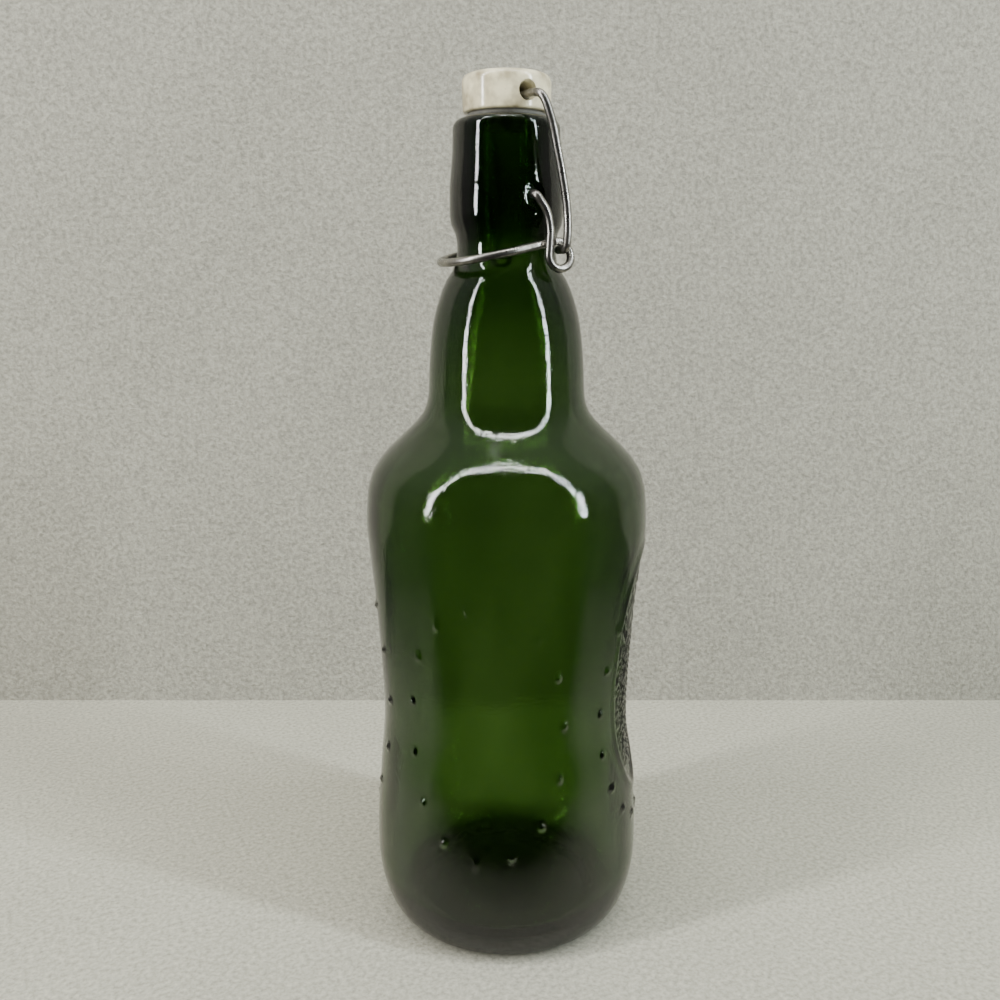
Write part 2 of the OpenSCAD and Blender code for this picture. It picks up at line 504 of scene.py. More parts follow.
@dataclass(frozen=True)
class MouldedRubber:
    """Grey natural rubber, moulded and dusted with talc.

    It gives a matt grey edge with a faint grain and paler bloom.
    """

    body: str = "5B5A55"
    bloom: str = "85847C"
    roughness: float = 0.62

    def build(self) -> bpy.types.Material:
        """Make the material.

        Returns:
            Matt rubber with bloom and fine grain.
        """
        material, tree = new_material("rubber_moulded_grey")
        place = add_node(tree, "TexCoord").outputs["Object"]
        # Bloom in patches of about 2 mm
        bloom = add_node(tree, "TexNoise", {"Scale": 1000 / 2, "Detail": 3.0}, {"Vector": place})
        colour = add_node(
            tree, "Mix", {6: linear(self.body), 7: linear(self.bloom)}, {0: bloom.outputs["Fac"]},
            data_type="RGBA",
        )
        # Grain of the mould, 0.25 mm
        grain = add_node(tree, "TexNoise", {"Scale": 1000 / 0.25, "Detail": 2.0}, {"Vector": place})
        bump = add_node(
            tree, "Bump", {"Strength": 0.4, "Distance": 0.03 * MM}, {"Height": grain.outputs["Fac"]}
        )
        shader = add_node(
            tree, "BsdfPrincipled", {"Roughness": self.roughness},
            {"Base Color": colour.outputs[2], "Normal": bump.outputs["Normal"]},
        )
        add_node(tree, "OutputMaterial", links={"Surface": shader.outputs["BSDF"]})
        return material


@dataclass(frozen=True)
class DrawnSteel:
    """Galvanised spring steel wire, drawn through dies.

    Drawing leaves fine lines along the wire that stretch its highlights lengthways, and handling
    leaves duller, darker patches.
    """

    bright: str = "A9A69F"
    dull: str = "6C6963"
    roughness: float = 0.27

    def build(self) -> bpy.types.Material:
        """Make the material.

        Returns:
            Metal with lines along the wire and patches of dulling.
        """
        material, tree = new_material("steel_wire_drawn")
        uv = add_node(tree, "TexCoord").outputs["UV"]
        # Draw lines: about 40 round the wire, each some 15 mm long
        lines_place = add_node(tree, "Mapping", {"Scale": (40.0, 1 / 15, 1.0)}, {"Vector": uv})
        lines = add_node(
            tree, "TexNoise", {"Scale": 1.0, "Detail": 2.0}, {"Vector": lines_place.outputs["Vector"]},
            noise_dimensions="2D",
        )
        bump = add_node(
            tree, "Bump", {"Strength": 0.35, "Distance": 0.02 * MM}, {"Height": lines.outputs["Fac"]}
        )
        # Dull patches about 4 mm long
        place = add_node(tree, "TexCoord").outputs["Object"]
        patch = add_node(
            tree, "TexNoise", {"Scale": 1000 / 4, "Detail": 4.0, "Roughness": 0.65}, {"Vector": place}
        )
        share = add_node(
            tree, "MapRange", {"From Min": 0.4, "From Max": 0.68}, {"Value": patch.outputs["Fac"]}
        )
        colour = add_node(
            tree, "Mix", {6: linear(self.bright), 7: linear(self.dull)}, {0: share.outputs["Result"]},
            data_type="RGBA",
        )
        rough = add_node(
            tree, "MapRange", {"To Min": self.roughness, "To Max": self.roughness + 0.16},
            {"Value": share.outputs["Result"]},
        )
        shader = add_node(
            tree,
            "BsdfPrincipled",
            {"Metallic": 1.0},
            {
                "Base Color": colour.outputs[2],
                "Roughness": rough.outputs["Result"],
                "Normal": bump.outputs["Normal"],
            },
        )
        add_node(tree, "OutputMaterial", links={"Surface": shader.outputs["BSDF"]})
        return material


@dataclass(frozen=True)
class StudioFelt:
    """Pale grey needled felt on the studio's floor and wall.

    Matt, with a soft stipple that keeps it from looking like flat paint. Mirror reflections lose it
    on the forward side of the bottle, and from half of its mirror reach outwards.
    """

    name: str
    shade: str
    stipple_mm: float
    relief_mm: float
    forward: Vector
    mirror_reach_mm: float

    def build(self) -> bpy.types.Material:
        """Make the material.

        Returns:
            Matt felt that is clear from behind, so that it never hides the bottle.
        """
        material, tree = new_material(self.name)
        place = add_node(tree, "TexCoord").outputs["Object"]
        coarse = add_node(
            tree, "TexNoise", {"Scale": 1000 / self.stipple_mm, "Detail": 5.0, "Roughness": 0.62},
            {"Vector": place},
        )
        broad = add_node(tree, "TexNoise", {"Scale": 1000 / 60, "Detail": 2.0}, {"Vector": place})
        value = add_node(
            tree, "MapRange", {"From Min": 0.3, "From Max": 0.7, "To Min": 0.7, "To Max": 1.3},
            {"Value": coarse.outputs["Fac"]},
        )
        slow = add_node(
            tree, "MapRange", {"From Min": 0.3, "From Max": 0.7, "To Min": 0.97, "To Max": 1.03},
            {"Value": broad.outputs["Fac"]},
        )
        both = add_node(
            tree, "Math", links={0: value.outputs["Result"], 1: slow.outputs["Result"]}, operation="MULTIPLY"
        )
        shade = add_node(
            tree, "HueSaturation", {"Color": linear(self.shade)}, {"Value": both.outputs["Value"]}
        )
        bump = add_node(
            tree, "Bump", {"Strength": 1.0, "Distance": self.relief_mm * MM},
            {"Height": coarse.outputs["Fac"]},
        )
        felt = add_node(
            tree, "BsdfPrincipled", {"Roughness": 0.95, "Specular IOR Level": 0.1},
            {"Base Color": shade.outputs["Color"], "Normal": bump.outputs["Normal"]},
        )
        clear = add_node(tree, "BsdfTransparent")
        behind = add_node(tree, "NewGeometry").outputs["Backfacing"]
        # Mirror reflections find no felt in the dark front of the room or far from the bottle
        reach = add_node(tree, "VectorMath", {1: self.forward}, {0: place}, operation="DOT_PRODUCT")
        ahead = add_node(
            tree, "MapRange", {"From Min": 0.06, "From Max": 0.12}, {"Value": reach.outputs["Value"]}
        )
        away = add_node(tree, "VectorMath", links={0: place}, operation="LENGTH")
        beyond = add_node(
            tree, "MapRange",
            {"From Min": 0.5 * self.mirror_reach_mm * MM, "From Max": self.mirror_reach_mm * MM},
            {"Value": away.outputs["Value"]},
        )
        either = add_node(
            tree, "Math", links={0: ahead.outputs["Result"], 1: beyond.outputs["Result"]},
            operation="MAXIMUM",
        )
        mirror = mirror_rays(tree)
        unlit = add_node(tree, "Math", links={0: either.outputs["Value"], 1: mirror}, operation="MULTIPLY")
        gone = add_node(tree, "Math", links={0: unlit.outputs["Value"], 1: behind}, operation="MAXIMUM")
        choose = add_node(
            tree, "MixShader",
            links={0: gone.outputs["Value"], 1: felt.outputs["BSDF"], 2: clear.outputs["BSDF"]},
        )
        add_node(tree, "OutputMaterial", links={"Surface": choose.outputs["Shader"]})
        return material


# ---- Relief on the glass ----


@dataclass(frozen=True)
class PearlRing:
    """An upright oval of small glass pearls."""

    bearing: float
    middle_z: float = 73.5
    half_turn: float = 35.0
    half_height: float = 38.5
    pearls: int = 15
    pearl_r: float = 1.15
    pearl_h: float = 0.75
    radius: float = 40.0

    def height(self, bearing: np.ndarray, z: np.ndarray) -> np.ndarray:
        """Height of the pearls over the glass.

        Args:
            bearing: bearing of each place.
            z: height of each place.

        Returns:
            How far each place is raised.
        """
        total = np.zeros(z.shape)
        for k in range(self.pearls):
            a = math.radians(90 + 360 * (k + 0.35) / self.pearls)
            centre = self.bearing + self.half_turn * math.cos(a)
            turn = (bearing - centre + 180) % 360 - 180
            up = z - self.middle_z - self.half_height * math.sin(a)
            away = np.hypot(np.radians(turn) * self.radius, up)
            inside = np.clip(1 - (away / self.pearl_r) ** 2, 0, 1)
            total = np.maximum(total, self.pearl_h * np.sqrt(inside))
        return total


@dataclass(frozen=True)
class HammeredOval:
    """A sunk upright oval with a raised rim and a hammered ground."""

    bearing: float = 52.0
    middle_z: float = 83.0
    half_turn: float = 25.0
    half_height: float = 39.0
    radius: float = 40.0
    depth: float = 1.0
    rim: float = 0.4
    dent: float = 0.45

    def height(self, bearing: np.ndarray, z: np.ndarray) -> np.ndarray:
        """Height of the oval over the glass.

        Args:
            bearing: bearing of each place.
            z: height of each place.

        Returns:
            How far each place is raised, below 0 where it is sunk.
        """
        turn = (bearing - self.bearing + 180) % 360 - 180
        x = np.radians(turn) * self.radius
        half = math.radians(self.half_turn) * self.radius
        up = z - self.middle_z
        far = np.hypot(x / half, up / self.half_height)
        inside = (1 - far) * half
        sunk = np.clip(inside / 1.6, 0, 1)
        sunk = sunk**2 * (3 - 2 * sunk)
        bead = np.exp(-((inside + 0.2) / 0.8) ** 2) + 0.9 * np.exp(-((inside - 3.2) / 0.75) ** 2)
        ground = np.sin(1.9 * x + 1.3 * np.sin(0.8 * up)) * np.sin(1.6 * up + 1.1 * np.sin(0.9 * x))
        return self.rim * bead - sunk * (self.depth - self.dent * ground * np.clip(inside / 4, 0, 1))


# ---- The glass ----


@dataclass
class GlassBottle:
    """The bottle: one piece of green glass with its relief, hollow, sealing lip and two dimples."""

    lip_z: float = 244.4
    heel_z: float = 23.0
    heel_w: float = 9.8
    ring_w: float = 5.0
    punt_h: float = 4.5
    base_t: float = 6.5
    wall: float = 3.6
    seal_r: float = 13.0
    widest_r: float = 42.75
    lip_start_z: float = 241.6
    lip_steps: int = 9
    bore_r: float = 8.8
    bore_edge: float = 0.5
    side_start_z: float = 23.0
    corner_z: float = 20.0
    corner_w: float = 6.5
    corner_low_z: float = 8.0
    side_end_z: float = 172.0
    pivot_z: float = 223.1
    dimple_r: float = 1.25
    dimple_end_y: float = 13.9
    dimple_mouth_y: float = 15.7
    dish_r: float = 3.3
    dish_depth: float = 0.45
    # Outside as (height, radius), from the heel up to below the lip
    outside: tuple[tuple[float, float], ...] = (
        (23, 41.85), (30, 41.75), (50, 40.35), (69, 38.9), (98, 40.25), (123, 42.45), (128, 42.78),
        (137, 42.3), (142.5, 41), (148, 37.75), (157, 28.7), (161, 25.15), (166, 23.5), (177, 22.9),
        (187, 21.8), (195, 19.75), (200.5, 17.4), (204.5, 14.9), (208, 14.45), (211.5, 14.45),
        (214.8, 15.9), (217.5, 16.5), (223.1, 16.5), (236, 15.6), (241.6, 15.4),
    )
    # Inside of the neck as (height, radius), from the shoulder up to the lip
    bore: tuple[tuple[float, float], ...] = (
        (176, 19.2), (187, 17.4), (196, 14), (203, 11), (208.5, 9.5), (216, 9), (244.4, 8.8),
    )
    # Finest where the relief and the dimples are: (start, end, greatest gap)
    bearing_zones: tuple[tuple[float, float, float], ...] = (
        (-110, -80, 1.5), (-80, 20, 0.6), (20, 84, 1.3), (84, 172, 3.5), (172, 188, 0.7), (188, 250, 3.5),
    )
    height_zones: tuple[tuple[float, float, float], ...] = (
        (23, 36, 1.8), (36, 92, 0.78), (92, 126, 1.4), (126, 134, 2.0), (134, 148.5, 0.4),
        (148.5, 218, 2.6), (218, 228, 0.45), (228, 241.6, 1.9),
    )
    reliefs: list[PearlRing | HammeredOval] = field(
        default_factory=lambda: [
            PearlRing(-38), PearlRing(52, pearls=18), PearlRing(-128), HammeredOval(),
        ]
    )

    def outside_points(self) -> tuple[Outline, int]:
        """Outline of the outside, from the middle of the underside to the top of the lip.

        Returns:
            The outline, and the number of its points that lie below the side.
        """
        heel_r, lip_r = self.outside[0][1], self.outside[-1][1]
        under = rounded((0, 0), heel_r - self.heel_w - self.ring_w, self.punt_h, 90, 0, 6)
        heel = rounded((heel_r - self.heel_w, self.heel_z), self.heel_w, self.heel_z, -90, -6, 14)
        heights = zoned(self.height_zones)
        side = list(zip(smooth_radius(self.outside, heights).tolist(), heights.tolist()))
        lip_h = self.lip_z - self.lip_start_z
        lip = rounded((self.seal_r, self.lip_start_z), lip_r - self.seal_r, lip_h, 0, 90, self.lip_steps)
        return under + heel + side + lip, len(under) + len(heel)

    def inside_points(self) -> Outline:
        """Outline of the hollow, from the lip down to the middle of the floor.

        Returns:
            The outline.
        """
        turn = self.bore_edge
        edge = rounded((self.bore_r + turn, self.lip_z - turn), turn, turn, 90, 180, 4)
        neck_z = np.arange(self.lip_z - 3, self.bore[0][0], -3.0)
        neck = list(zip(smooth_radius(self.bore, neck_z).tolist(), neck_z.tolist()))
        z = np.arange(self.side_start_z - 2, self.side_end_z + 6, 0.5)
        r = smooth_radius(self.outside, z)
        slope = np.gradient(r, z)
        length = np.hypot(1, slope)
        inner_r, inner_z = r - self.wall / length, z + self.wall * slope / length
        side_z = np.arange(self.side_end_z, self.side_start_z, -4.0)
        side_r = np.interp(side_z, inner_z, inner_r)
        side = list(zip(side_r.tolist(), side_z.tolist()))
        wide = float(side_r[-1])
        corner_h = self.corner_z - self.corner_low_z
        corner = rounded((wide - self.corner_w, self.corner_z), self.corner_w, corner_h, -9, -88, 14)
        floor_z = self.punt_h + self.base_t
        flat = [corner[-1], (wide * 0.6, 9.4), (wide * 0.35, 10.5), (0, floor_z)]
        floor = bent([(a, b, 0) for a, b in flat], 4)[1:]
        return edge + neck + side + corner + [(a, b) for a, b, _ in floor]

    def relief(self, bearing: np.ndarray, z: np.ndarray) -> np.ndarray:
        """Total of the relief at each place on the side.

        Args:
            bearing: bearing of each place.
            z: height of each place.

        Returns:
            How far each place is raised.
        """
        return sum((part.height(bearing, z) for part in self.reliefs), np.zeros(z.shape))

    def sink_dimples(self, points: np.ndarray) -> np.ndarray:
        """Press the two dimples for the lever's ends into the collar.

        Args:
            points: the outside's points in millimetres, shaped (rings, round, 3).

        Returns:
            The points, with those in the dimples moved in along Y.
        """
        away = np.hypot(points[..., 0], points[..., 2] - self.pivot_z)
        depth = np.abs(points[..., 1])
        on_side = depth > 10
        cone = self.dimple_mouth_y + (away - self.dimple_r) * 1.12
        rise = np.clip((away - self.dimple_r + 0.2) / 0.2, 0, 1)
        shaft = self.dimple_end_y + rise * (cone - self.dimple_end_y)
        dish = depth - self.dish_depth * np.clip(1 - (away / self.dish_r) ** 2, 0, 1) ** 0.7
        floor = np.where(away < self.dimple_r, shaft, np.minimum(cone, dish))
        floor = np.minimum(floor, dish)
        moved = points.copy()
        inside = on_side & (away < self.dish_r)
        moved[..., 1] = np.where(inside, np.sign(points[..., 1]) * floor, points[..., 1])
        return moved

    def uneven(self, bearing: np.ndarray, z: np.ndarray) -> np.ndarray:
        """How much the blown wall varies inside, since air and not a mould shaped it.

        Args:
            bearing: bearing of each place.
            z: height of each place.

        Returns:
            How far the inside moves outwards at each place.
        """
        a = np.radians(bearing)
        slow = 0.22 * np.sin(2 * a + 0.031 * z + 0.7) + 0.16 * np.sin(5 * a - 0.047 * z + 2.1)
        quick = 0.07 * np.sin(11 * a + 0.09 * z + 0.4) + 0.05 * np.sin(17 * a - 0.13 * z + 1.9)
        return (slow + quick) * np.clip((z - 8) / 30, 0, 1) * np.clip((205 - z) / 60, 0, 1)

    def mesh(self) -> bpy.types.Mesh:
        """Make the glass as one closed wall, with its outside, lip and hollow.

        Returns:
            The mesh.
        """
        outer, below = self.outside_points()
        inner = self.inside_points()
        bearings = zoned(self.bearing_zones)
        a = np.radians(bearings)
        profile = np.array(outer[1:] + inner[:-1])
        height = np.repeat(profile[:, 1:2], len(a), 1)
        radius = np.repeat(profile[:, :1], len(a), 1)
        turn = np.repeat(bearings[None, :], len(profile), 0)
        # The profile leaves out the outline's first point, and the lip keeps its plain round
        side = slice(below - 1, len(outer) - 1 - (self.lip_steps + 1))
        drawn = self.relief((turn[side] + 180) % 360 - 180, height[side])
        # Relief never stands out past the bottle's own greatest width
        radius[side] += np.minimum(drawn, np.maximum(self.widest_r - radius[side], 0))
        hollow = slice(len(outer) - 1, None)
        radius[hollow] += self.uneven(turn[hollow], height[hollow])
        rings = np.stack([radius * np.sin(a), -radius * np.cos(a), height], -1)
        rings[:len(outer) - 1] = self.sink_dimples(rings[:len(outer) - 1])
        ends = [np.array([0, 0, z]) * MM for z in (outer[0][1], inner[-1][1])]
        return grid_mesh("bottle_glass_wall", rings * MM, *ends)

    def build(self) -> bpy.types.Object:
        """Make the bottle and dress it.

        Returns:
            The bottle's object.
        """
        return add_piece(
            "glass_bottle", self.mesh(), ContainerGlass().build(), Body.GLASS, "bottle"
        )


# ---- Stopper and washer ----


@dataclass
class PorcelainStopper:
    """The porcelain stopper with the flared hole that the bail's crossbar lies in."""

    low_z: float = 240.8
    washer_top_z: float = 246.0
    top_z: float = 256.8
    radius: float = 12.7
    edge_r: float = 2.2
    dome: float = 0.5
    stem_r: float = 4.6
    bead_r: float = 5.3
    hole_z: float = 250.58
    hole_r: float = 2.3
    mouth_r: float = 3.1
    mouth_l: float = 1.6

    def drum(self) -> bpy.types.Mesh:
        """Turn the stopper without its hole.

        Returns:
            The mesh.
        """
        r, top, low = self.radius, self.top_z, self.low_z
        outline = [(0, low), *rounded((self.bead_r - 0.9, low + 0.9), 0.9, 0.9, -90, 0, 4)]
        outline += [(self.bead_r, low + 1.7), (self.stem_r, low + 2.4)]
        outline.append((self.stem_r, self.washer_top_z - 0.05))
        outline += rounded((r - 0.9, self.washer_top_z + 0.7), 0.7, 0.7, -90, 0, 4)
        edge_z = top - self.dome - self.edge_r
        outline += [(r - 0.15, self.washer_top_z + 2), (r - 0.05, self.washer_top_z + 4), (r, edge_z - 1)]
        outline += rounded((r - self.edge_r, edge_z), self.edge_r, self.edge_r, 0, 84, 10)
        flat = r - self.edge_r
        outline += [(flat * s, top - self.dome * s**2 * 0.92) for s in (0.8, 0.6, 0.4, 0.2)]
        outline.append((0, top))
        return turned_mesh("stopper_drum", outline, 128)

    def drill(self) -> bpy.types.Mesh:
        """Make the shape of the flared hole, which lies along Y.

        Returns:
            The mesh to cut away.
        """
        reach, start = self.radius + 1.5, self.radius - self.mouth_l
        flare = [(start + self.mouth_l * 1.9 * t, self.hole_r + (self.mouth_r - self.hole_r) * 1.9 * t**1.6)
                 for t in (0, 0.25, 0.5, 0.75, 1)]
        half = [(y, r) for y, r in flare if y < reach] + [(reach, self.mouth_r + 0.8)]
        outline = [(r, -y) for y, r in reversed(half)] + [(r, y) for y, r in half]
        outline = [(0, -reach), *outline, (0, reach)]
        mesh = turned_mesh("stopper_drill", outline, 48)
        turned = [(v.co.x, v.co.z, v.co.y) for v in mesh.vertices]
        for vertex, (x, y, z) in zip(mesh.vertices, turned):
            vertex.co = Vector((x, y, z + self.hole_z * MM))
        mesh.flip_normals()
        return mesh

    def build(self) -> bpy.types.Object:
        """Make the stopper and dress it.

        Returns:
            The stopper's object.
        """
        piece = add_piece(
            "porcelain_stopper", self.drum(), GlazedPorcelain().build(), Body.STOPPER,
            "stopper",
        )
        cutter = bpy.data.objects.new("drill", self.drill())
        bpy.context.scene.collection.objects.link(cutter)
        cut = piece.modifiers.new("hole", "BOOLEAN")
        cut.operation = "DIFFERENCE"
        cut.solver = "EXACT"
        cut.object = cutter
        bpy.context.view_layer.update()
        graph = bpy.context.evaluated_depsgraph_get()
        made = bpy.data.meshes.new_from_object(piece.evaluated_get(graph))
        piece.modifiers.clear()
        piece.data = made
        bpy.data.objects.remove(cutter)
        mark_sharp(made, 38)
        return piece


@dataclass
class RubberWasher:
    """The rubber washer on the stopper's stem, pressed on to the lip."""

    low_z: float = 244.4
    thick: float = 1.6
    radius: float = 11.3
    hole_r: float = 4.6
    edge: float = 0.4

    def build(self) -> bpy.types.Object:
        """Make the washer and dress it.

        Returns:
            The washer's object.
        """
        low, high = self.low_z, self.low_z + self.thick
        section = [(self.hole_r, low), (self.radius - self.edge, low)]
        section += rounded((self.radius - 0.8, (low + high) / 2), 0.8, self.thick / 2, -70, 70, 8)
        section += [(self.radius - self.edge, high), (self.hole_r, high)]
        sides = 96
        angles = np.radians(np.arange(sides) * 360 / sides)
        points = [(r * math.cos(a) * MM, r * math.sin(a) * MM, z * MM) for r, z in section for a in angles]
        count = len(section)
        faces = [
            (i * sides + a, i * sides + (a + 1) % sides, (i + 1) % count * sides + (a + 1) % sides,
             (i + 1) % count * sides + a)
            for i in range(count)
            for a in range(sides)
        ]
        mesh = bpy.data.meshes.new("washer_ring")
        mesh.from_pydata(points, [], faces)
        mesh.update()
        mark_sharp(mesh, 40)
        return add_piece(
            "rubber_washer", mesh, MouldedRubber().build(), Body.STOPPER, "gasket"
        )


# ---- Wires ----


@dataclass
class WireBail:
    """The upper wire: a crossbar through the stopper, two bowed legs and a hook on each."""

    wire_r: float = 1.15
    crossbar_z: float = 249.5
    hook_x: float = 7.8
    hook_z: float = 208.2
    hook_r: float = 1.9
    leg_y: float = 20.95
    tip_y: float = 15.9
    # Bends of one leg, from the crossbar's end down to the hook
    bends: tuple[tuple[float, float, float], ...] = (
        (0, 14.7, 249.5), (0.35, 18.4, 248.9), (1.3, 20, 246.6), (3, 20.6, 241.5), (4.4, 20.8, 235.5),
        (5.9, 20.95, 229), (7.6, 20.95, 220.5), (8.05, 20.95, 214.4), (7.85, 20.95, 210.1),
    )

    def side(self) -> Route:
        """Route from the crossbar's end to the tip of one hook.

        Returns:
            The route on the +Y side.
        """
        hook = [
            (
                self.hook_x,
                self.leg_y - self.hook_r * (1 - math.cos(a)),
                self.hook_z + self.hook_r * (1 - math.sin(a)),
            )
            for a in np.radians(np.arange(15, 91, 15))
        ]
        tip = [(self.hook_x, y, self.hook_z) for y in (18.0, 17.0, self.tip_y)]
        return bent(self.bends, 8) + hook + tip

    def build(self, finish: bpy.types.Material) -> bpy.types.Object:
        """Make the bail and dress it.

        Args:
            finish: the wire's material.

        Returns:
            The bail's object.
        """
        side = self.side()
        far = [(x, -y, z) for x, y, z in reversed(side)]
        bar = [(0.0, y, self.crossbar_z) for y in np.linspace(-12, 12, 9)]
        mesh = wire_mesh("bail_wire_drawn", far + bar + side, self.wire_r, 20)
        return add_piece("wire_bail", mesh, finish, Body.BAIL, "bail")


@dataclass
class WireLever:
    """The lower wire: ends in the dimples, legs, an eye on each side, two arms and the handle."""

    wire_r: float = 1.15
    pivot_z: float = 223.1
    pin_y: float = 14.2
    eye_r: float = 3.8
    eye_x: float = 7.3
    eye_z: float = 206.85
    leg_y: float = 18.6
    arm_y: float = 16.1
    start_x: float = 4.85
    handle_x: float = 19.4
    handle_z: float = 204.7

    def side(self) -> Route:
        """Route from the end in a dimple round the eye to the middle of the handle.

        Returns:
            The route on the +Y side.
        """
        left = self.eye_x - self.eye_r
        leg = bent(
            [
                (0, 16.3, self.pivot_z), (0.2, 17.5, 222.6), (1, 17.95, 221.4), (3, 18.15, 218.4),
                (4, 18.3, 214), (left + 0.3, 18.5, self.eye_z + 3.2), (left, self.leg_y, self.eye_z),
            ],
            8,
        )
        eye = []
        for t in np.arange(1, 41) / 40:
            late = max(0.0, t - 0.4) / 0.6
            ease = late**2 * (3 - 2 * late)
            a = math.radians(270 * t)
            y = self.leg_y + (self.arm_y - self.leg_y) * ease
            eye.append((self.eye_x - self.eye_r * math.cos(a), y, self.eye_z - self.eye_r * math.sin(a)))
        top = self.eye_z + self.eye_r
        arm = [(x, self.arm_y, self.arm_z(x, top)) for x in (5.5, 3.0, 0.5, -2.0)]
        curve = []
        for a in np.radians(np.arange(0, 91, 5)):
            x = -self.start_x - (self.handle_x - self.start_x) * math.sin(a)
            curve.append((x, self.arm_y * math.cos(a), self.arm_z(x, top)))
        return [(0, self.pin_y, self.pivot_z), (0, 15.3, self.pivot_z)] + leg + eye + arm + curve

    def arm_z(self, x: float, top: float) -> float:
        """Height of the arms and handle at a place along X.

        Args:
            x: the place.
            top: height of the eye's top, where the arms begin.

        Returns:
            The height.
        """
        return top + (self.handle_z - top) * (self.eye_x - x) / (self.eye_x + self.handle_x)

    def build(self, finish: bpy.types.Material) -> bpy.types.Object:
        """Make the lever and dress it.

        Args:
            finish: the wire's material.

        Returns:
            The lever's object.
        """
        side = self.side()
        far = [(x, -y, z) for x, y, z in reversed(side[:-1])]
        mesh = wire_mesh("lever_wire_drawn", side + far, self.wire_r, 20)
        return add_piece("wire_lever", mesh, finish, Body.LEVER, "lever")


# ---- Studio ----


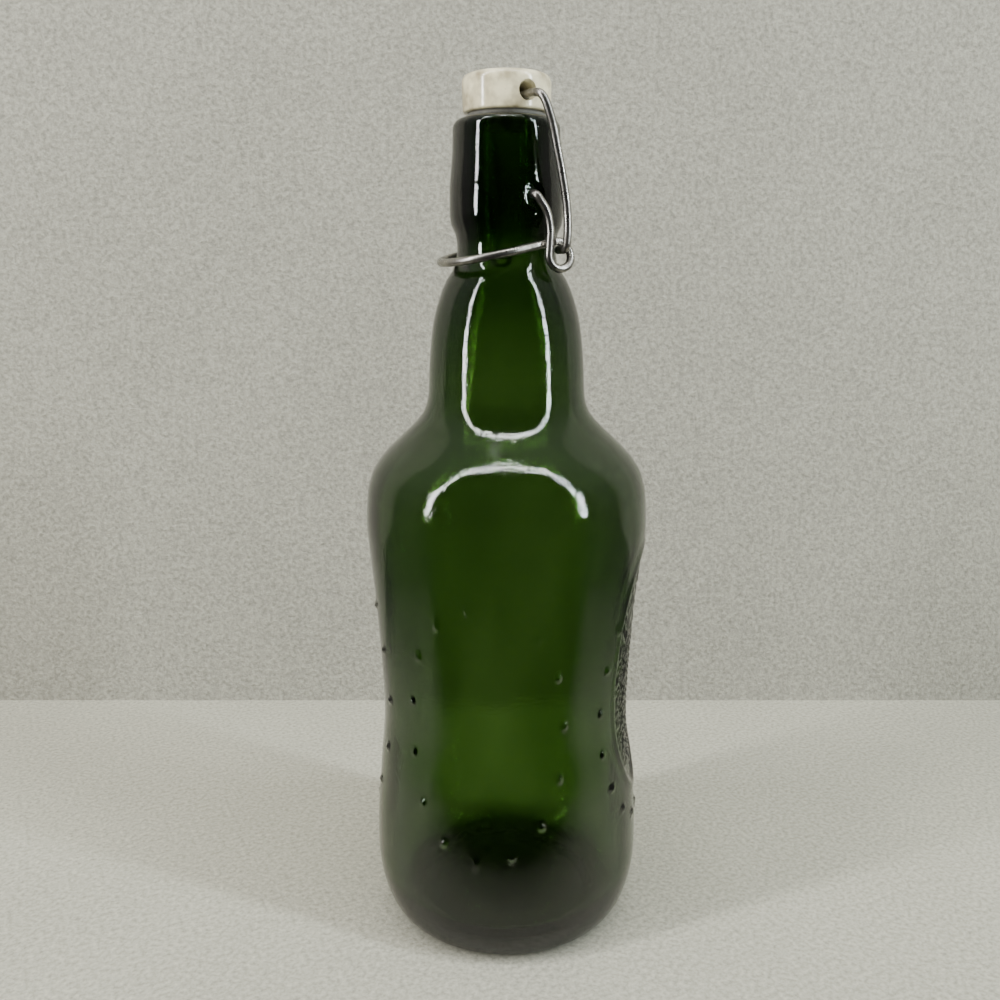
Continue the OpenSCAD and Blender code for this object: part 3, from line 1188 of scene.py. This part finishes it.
@dataclass
class Studio:
    """The pale floor, the plain wall, the lights and the camera."""

    view_bearing: float = -28.0
    view_distance: float = 300.9
    view_height: float = 198.9
    view_pitch: float = 12.2
    lens: float = 36.0
    shift: float = -0.0065
    wall_behind: float = 156.0
    bar_bearing: float = 63.0
    bar_distance: float = 900.0
    bar_width: float = 55.0
    bar_low_z: float = 100.0
    bar_high_z: float = 1900.0
    bar_power: float = 18.0

    def spot(self, side: float, back: float, z: float) -> Vector:
        """Turn a place seen from the camera into a place in the scene.

        Args:
            side: millimetres to the right of the bottle's axis.
            back: millimetres behind the axis.
            z: height in millimetres.

        Returns:
            The place in metres.
        """
        a = math.radians(self.view_bearing)
        x = side * math.cos(a) - back * math.sin(a)
        y = side * math.sin(a) + back * math.cos(a)
        return Vector((x, y, z)) * MM

    def sheet(self, name: str, corners: Sequence[Vector], finish: bpy.types.Material) -> bpy.types.Object:
        """Add one flat sheet of the studio.

        Args:
            name: its name.
            corners: four corners, anticlockwise seen from the front.
            finish: its material.

        Returns:
            The sheet's object.
        """
        mesh = bpy.data.meshes.new(name)
        mesh.from_pydata([tuple(c) for c in corners], [], [(0, 1, 2, 3)])
        mesh.materials.append(finish)
        mesh.update()
        sheet = bpy.data.objects.new(name, mesh)
        bpy.context.scene.collection.objects.link(sheet)
        return sheet

    def set_camera(self) -> None:
        """Put the camera at the viewing angle."""
        data = bpy.data.cameras.new("studio_camera")
        data.lens = self.lens
        data.sensor_width = 36.0
        data.shift_x = self.shift
        data.clip_start = 0.01
        camera = bpy.data.objects.new("studio_camera", data)
        bpy.context.scene.collection.objects.link(camera)
        camera.location = self.spot(0, -self.view_distance, self.view_height)
        camera.rotation_euler = (math.radians(90 - self.view_pitch), 0, math.radians(self.view_bearing))
        bpy.context.scene.camera = camera

    def add_area(
        self,
        name: str,
        place: Vector,
        aim: Vector,
        size: tuple[float, float],
        power: float,
        tint: str,
        roll: Vector | None = None,
    ) -> bpy.types.Object:
        """Add one flat light.

        Args:
            name: its name.
            place: where its middle is, in metres.
            aim: what it faces, in metres.
            size: its width and length in millimetres; the length runs along its roll.
            power: its power in watts.
            tint: its colour as sRGB hex.
            roll: direction of its length.

        Returns:
            The light's object.
        """
        data = bpy.data.lights.new(name, "AREA")
        data.shape = "RECTANGLE"
        data.size, data.size_y = size[0] * MM, size[1] * MM
        data.energy = power
        data.color = linear(tint)[:3]
        light = bpy.data.objects.new(name, data)
        bpy.context.scene.collection.objects.link(light)
        light.location = place
        back = (place - aim).normalized()
        up = (roll or Vector((0, 0, 1))) - back * (roll or Vector((0, 0, 1))).dot(back)
        up.normalize()
        side = up.cross(back)
        light.rotation_mode = "QUATERNION"
        rows = Matrix([[side[i], up[i], back[i]] for i in range(3)])
        light.rotation_quaternion = rows.to_quaternion()
        light.visible_camera = False
        return light

    def set_lights(self) -> None:
        """Set a thin frame of lights round the camera and soft light from above."""
        aim = Vector((0, 0, 0.2))
        low, high = self.bar_low_z, self.bar_high_z
        middle, length = (low + high) / 2, high - low
        a = math.radians(self.bar_bearing)
        for name, sign, tint in (("frame_left", -1, "FFFFFF"), ("frame_right", 1, "F2FBFF")):
            side, back = sign * self.bar_distance * math.sin(a), -self.bar_distance * math.cos(a)
            place = self.spot(side, back, middle)
            level = self.spot(0, 0, middle)
            self.add_area(name, place, level, (self.bar_width, length), self.bar_power, tint)
        half = self.bar_distance * math.sin(a)
        place = self.spot(0, -self.bar_distance * math.cos(a), high)
        across = self.spot(1000, 0, 0).normalized()
        self.add_area("frame_top", place, aim, (self.bar_width, 2 * half), self.bar_power, "FFFFFF", across)
        self.add_area("overhead", self.spot(0, 150, high), self.spot(0, 150, 0), (800, 450), 2.5, "FFFDF8")

    def set_world(self) -> None:
        """Fill the room with plain soft light, brighter overhead and dark in front.

        Only mirror reflections see the dark front of the room, and see its sides dimmer than they
        are. That gives the glass its depth and takes no light from the scene.
        """
        world = bpy.data.worlds.new("soft_room")
        bpy.context.scene.world = world
        world.use_nodes = True
        tree = world.node_tree
        tree.nodes.clear()
        place = add_node(tree, "TexCoord").outputs["Generated"]
        axes = add_node(tree, "SeparateXYZ", links={0: place})
        height = axes.outputs["Z"]
        share = add_node(tree, "MapRange", {"From Min": -0.2, "From Max": 0.9}, {"Value": height})
        colour = add_node(
            tree, "Mix", {6: linear("8C8A84"), 7: linear("E2E1DC")}, {0: share.outputs["Result"]},
            data_type="RGBA",
        )
        level = add_node(tree, "CombineXYZ", links={0: axes.outputs["X"], 1: axes.outputs["Y"]})
        heading = add_node(tree, "VectorMath", links={0: level.outputs["Vector"]}, operation="NORMALIZE")
        forward = self.spot(0, -1, 0).normalized()
        facing = add_node(
            tree, "VectorMath", {1: forward}, {0: heading.outputs["Vector"]}, operation="DOT_PRODUCT"
        )
        ahead = add_node(
            tree, "MapRange", {"From Min": 0.2, "From Max": 0.52}, {"Value": facing.outputs["Value"]}
        )
        below = add_node(tree, "MapRange", {"From Min": 0.965, "From Max": 0.93}, {"Value": height})
        opening = add_node(
            tree, "Math", links={0: ahead.outputs["Result"], 1: below.outputs["Result"]},
            operation="MULTIPLY",
        )
        mirror = mirror_rays(tree)
        seen = add_node(tree, "Math", links={0: opening.outputs["Value"], 1: mirror}, operation="MULTIPLY")
        around = add_node(tree, "MapRange", {"To Min": 0.84, "To Max": 0.6}, {"Value": mirror})
        strength = add_node(
            tree, "MapRange", {"To Max": 0.03},
            {"Value": seen.outputs["Value"], "To Min": around.outputs["Result"]},
        )
        glow = add_node(
            tree, "Background", links={"Color": colour.outputs[2], "Strength": strength.outputs["Result"]}
        )
        add_node(tree, "OutputWorld", links={"Surface": glow.outputs["Background"]})

    def build(self) -> None:
        """Set the floor, wall, lights, room and camera."""
        forward = self.spot(0, -1, 0).normalized()
        wall = StudioFelt("felt_wall", "A3A195", 1.8, 0.8, forward, 1400).build()
        floor = StudioFelt("felt_floor", "B3B1A1", 1.6, 0.35, forward, 290).build()
        wide, back = 1500.0, self.wall_behind
        self.sheet(
            "studio_floor",
            [self.spot(side * wide, deep * wide, 0) for side, deep in ((-1, -1), (1, -1), (1, 1), (-1, 1))],
            floor,
        )
        self.sheet(
            "studio_wall",
            [self.spot(side * wide, back, z) for side, z in ((-1, 0), (1, 0), (1, 900), (-1, 900))],
            wall,
        )
        self.set_lights()
        self.set_world()
        self.set_camera()
        LOG.info("studio: floor, wall, lights and camera set")


def main() -> None:
    """Build the bottle, its closure and the studio."""
    logging.basicConfig(level=logging.INFO, format="%(name)s: %(message)s")
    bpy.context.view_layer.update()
    GlassBottle().build()
    PorcelainStopper().build()
    RubberWasher().build()
    steel = DrawnSteel().build()
    WireBail().build(steel)
    WireLever().build(steel)
    Studio().build()
    bpy.context.view_layer.update()


if __name__ == "__main__":
    main()
